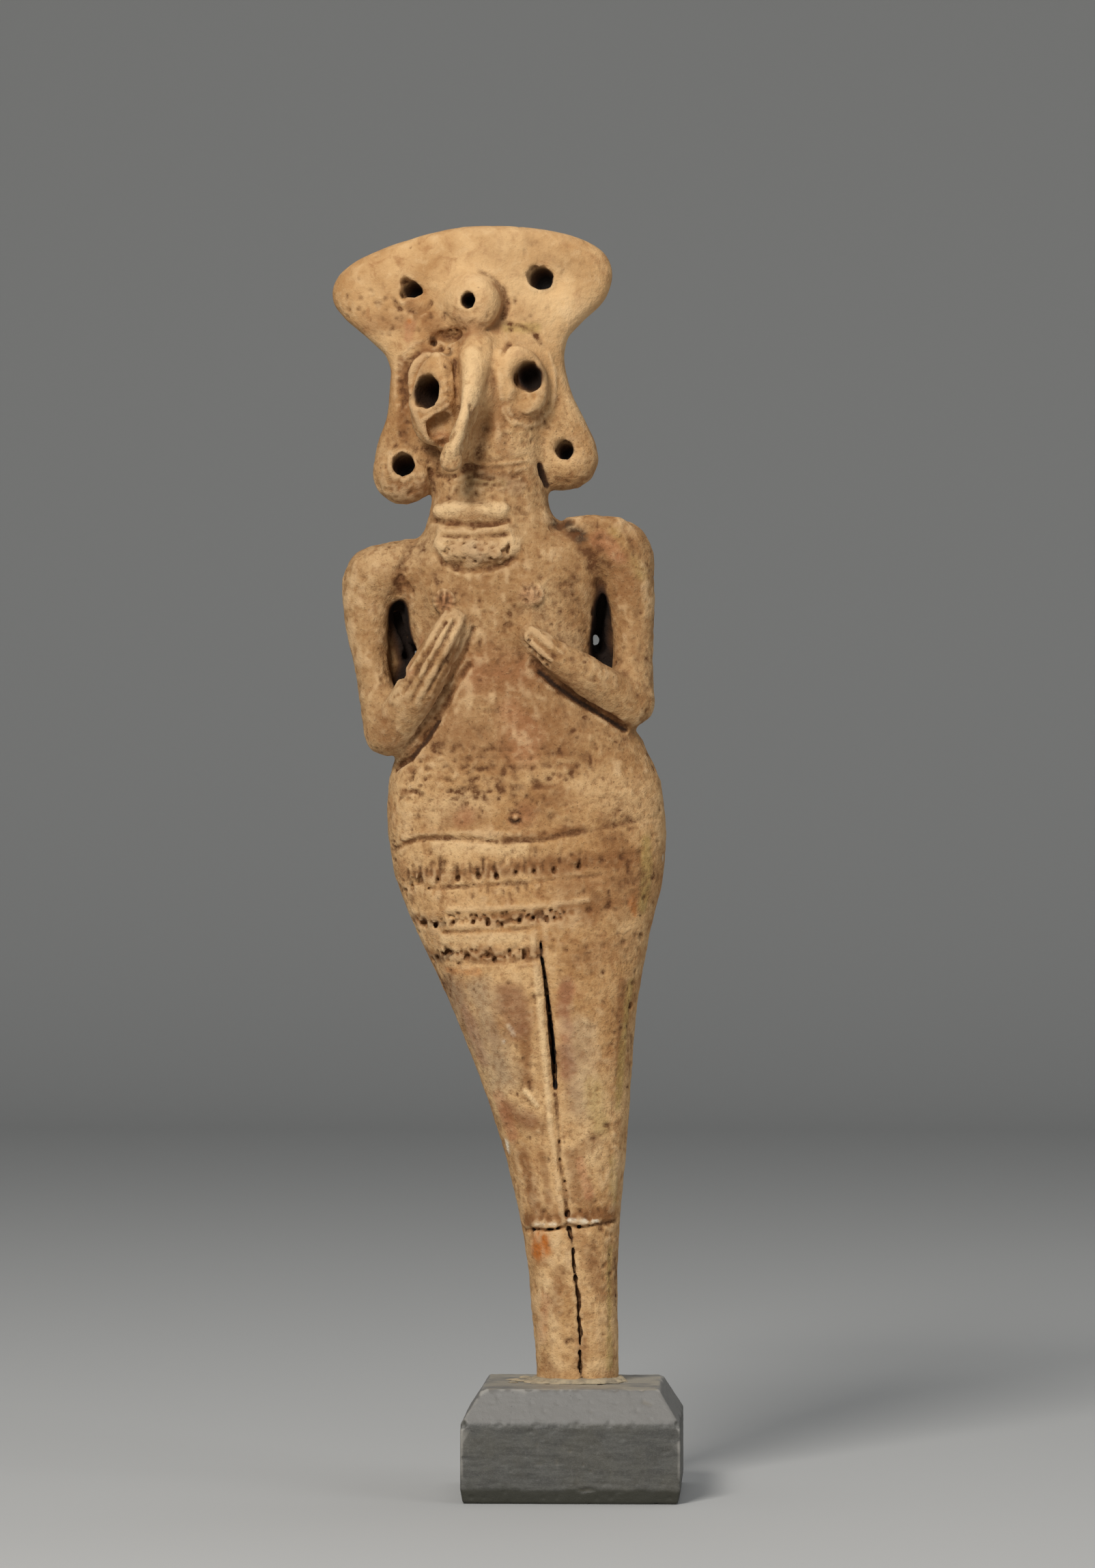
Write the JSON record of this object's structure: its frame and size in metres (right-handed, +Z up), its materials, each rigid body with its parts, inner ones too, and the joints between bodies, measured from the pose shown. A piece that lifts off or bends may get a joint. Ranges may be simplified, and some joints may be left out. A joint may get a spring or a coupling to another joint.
{
  "type": "terracotta female figurine",
  "caption": "Hand-modelled terracotta figurine of a standing woman for display: fan-shaped pierced head, hands to the breasts, closed tapering legs, on a low bevelled block.",
  "frame": {"origin": "middle of the block's flat underside, which rests on the table", "axes": "+Z up, along the standing figure; the figure faces -Y and her right arm is on the -X side"},
  "size_m": [0.0488, 0.029, 0.1754],
  "materials": {
    "terracotta": "matte",
    "dark_stone": "satin",
    "putty": "matte"
  },
  "bodies": {
    "root": {"figurine": "terracotta", "plinth": "dark_stone", "foot_putty": "putty"}
  },
  "joints": []
}
